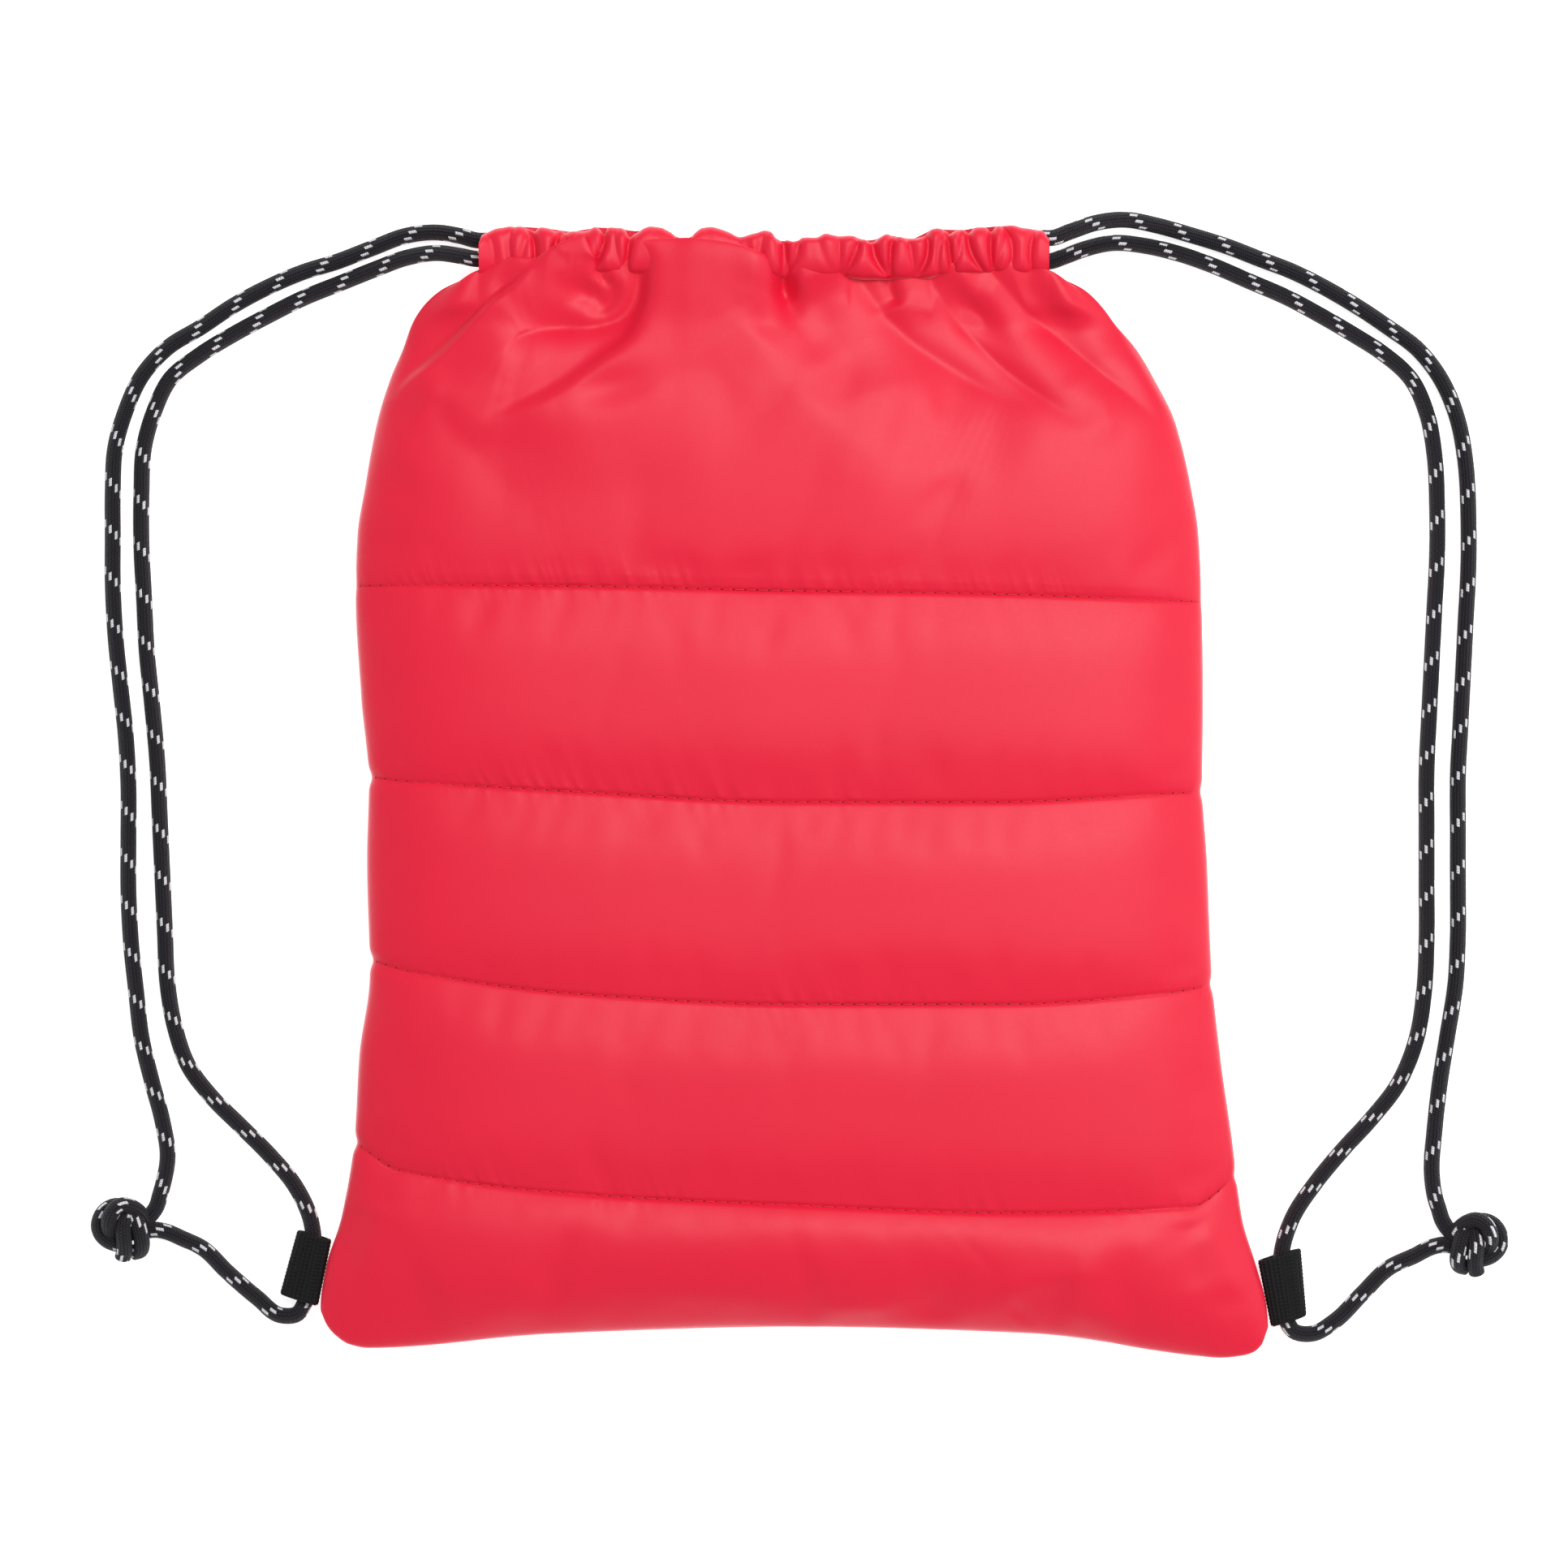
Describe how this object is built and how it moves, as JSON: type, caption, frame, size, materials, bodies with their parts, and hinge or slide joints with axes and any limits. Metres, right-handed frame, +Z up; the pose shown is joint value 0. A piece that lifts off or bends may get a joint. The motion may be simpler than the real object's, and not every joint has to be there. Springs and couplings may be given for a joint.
{
  "type": "quilted puffer drawstring backpack",
  "caption": "Padded drawstring backpack with horizontal quilting, a gathered mouth, round cord straps with stopper knots and webbing loops at the bottom corners.",
  "frame": {"origin": "on the floor below the middle of the bag, which lies on its back, without its free cords", "axes": "+X to the right seen from the front, +Y towards the gathered mouth, +Z up off the floor"},
  "size_m": [0.5412, 0.4373, 0.0381],
  "materials": {
    "padding": "satin woven polyester, quilted over fibre filling",
    "webbing": "ribbed black webbing",
    "cord": "black braid with white tracer flecks"
  },
  "bodies": {
    "root": {"front_panel": "padding", "back_panel": "padding", "front_casing": "padding", "back_casing": "padding", "webbing_loop_left": "webbing", "webbing_loop_right": "webbing", "cord_left_channel": "cord", "cord_right_channel": "cord", "cord_left_outer": "cord", "cord_left_inner": "cord", "cord_right_outer": "cord", "cord_right_inner": "cord", "knot_left": "cord", "knot_right": "cord"}
  },
  "joints": []
}
